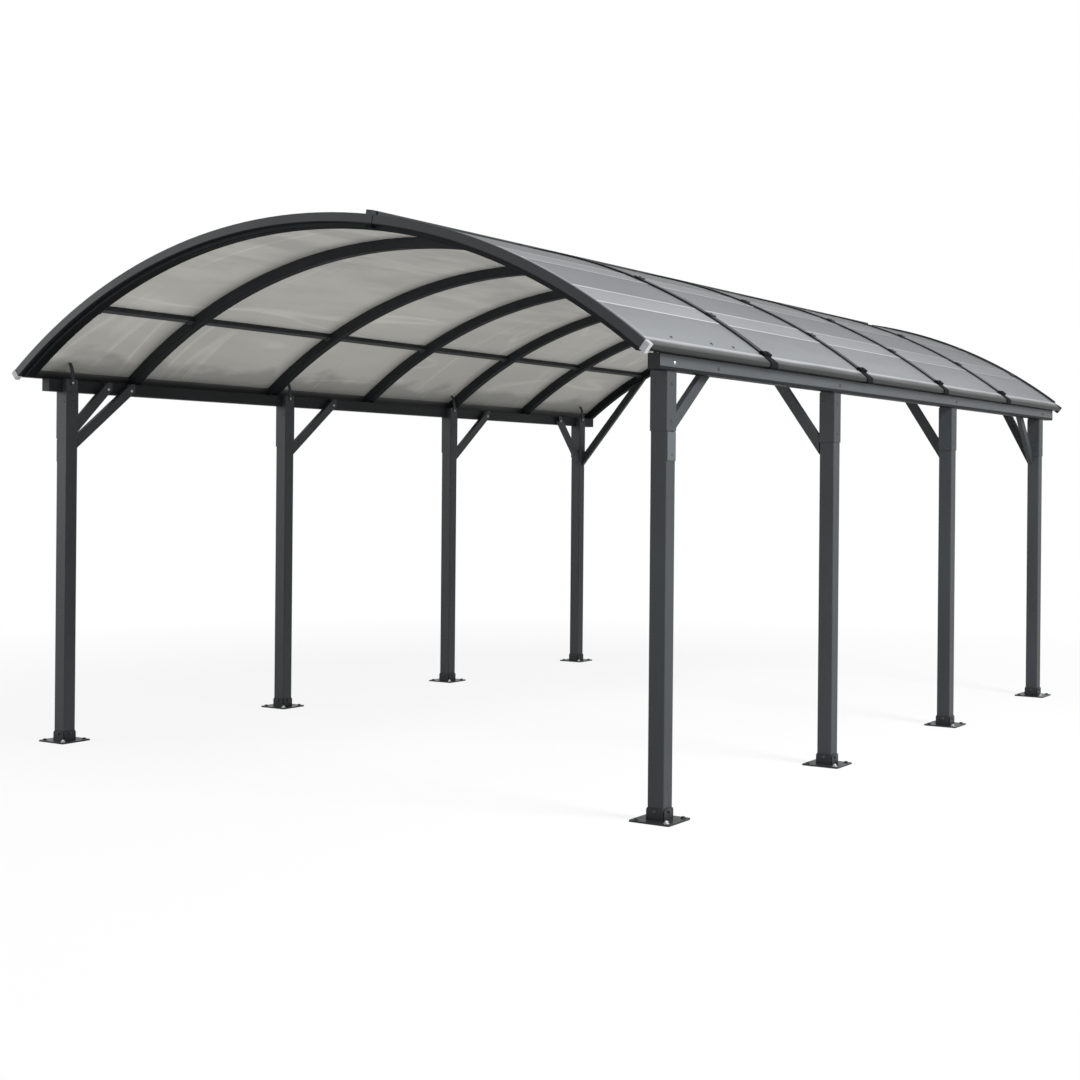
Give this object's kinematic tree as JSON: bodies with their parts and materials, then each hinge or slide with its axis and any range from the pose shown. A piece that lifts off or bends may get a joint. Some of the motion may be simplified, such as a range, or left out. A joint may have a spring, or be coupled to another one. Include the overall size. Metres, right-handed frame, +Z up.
{
  "type": "carport",
  "caption": "Freestanding carport: posts on bolted foot plates carry eave beams, bent ribs and a curved smoked translucent sheet roof with a ridge bar.",
  "frame": {"origin": "ground level under the middle of the carport", "axes": "+X to the right side, +Y from the front to the back along the roof, +Z up"},
  "size_m": [4.0064, 6.0066, 2.7448],
  "materials": {
    "dark_frame": "anthracite powder coat, satin",
    "dark_steel": "anthracite powder coat, satin",
    "smoked_sheet": "smoked grey translucent twin-wall sheet",
    "grey_plastic": "light grey moulded caps"
  },
  "bodies": {
    "root": {"braces_back": "dark_frame", "braces_left": "dark_frame", "braces_right": "dark_frame", "eave_beam_left": "dark_frame", "eave_beam_right": "dark_frame", "eave_trim_left": "dark_frame", "eave_trim_right": "dark_frame", "fascia_back": "dark_frame", "fascia_end_caps": "grey_plastic", "fascia_front": "dark_frame", "foot_left_1": "dark_steel", "foot_left_2": "dark_steel", "foot_left_3": "dark_steel", "foot_left_4": "dark_steel", "foot_right_1": "dark_steel", "foot_right_2": "dark_steel", "foot_right_3": "dark_steel", "foot_right_4": "dark_steel", "joint_strips_left": "dark_frame", "joint_strips_right": "dark_frame", "post_left_1": "dark_frame", "post_left_2": "dark_frame", "post_left_3": "dark_frame", "post_left_4": "dark_frame", "post_right_1": "dark_frame", "post_right_2": "dark_frame", "post_right_3": "dark_frame", "post_right_4": "dark_frame", "post_sleeves_left": "dark_frame", "post_sleeves_right": "dark_frame", "post_straps": "dark_frame", "purlins_left": "dark_frame", "purlins_right": "dark_frame", "rib_1": "dark_frame", "rib_2": "dark_frame", "rib_3": "dark_frame", "rib_4": "dark_frame", "rib_5": "dark_frame", "rib_6": "dark_frame", "rib_7": "dark_frame", "ridge_bar": "dark_frame", "ridge_sleeves": "dark_frame", "roof_sheets_left": "smoked_sheet", "roof_sheets_right": "smoked_sheet"}
  },
  "joints": []
}
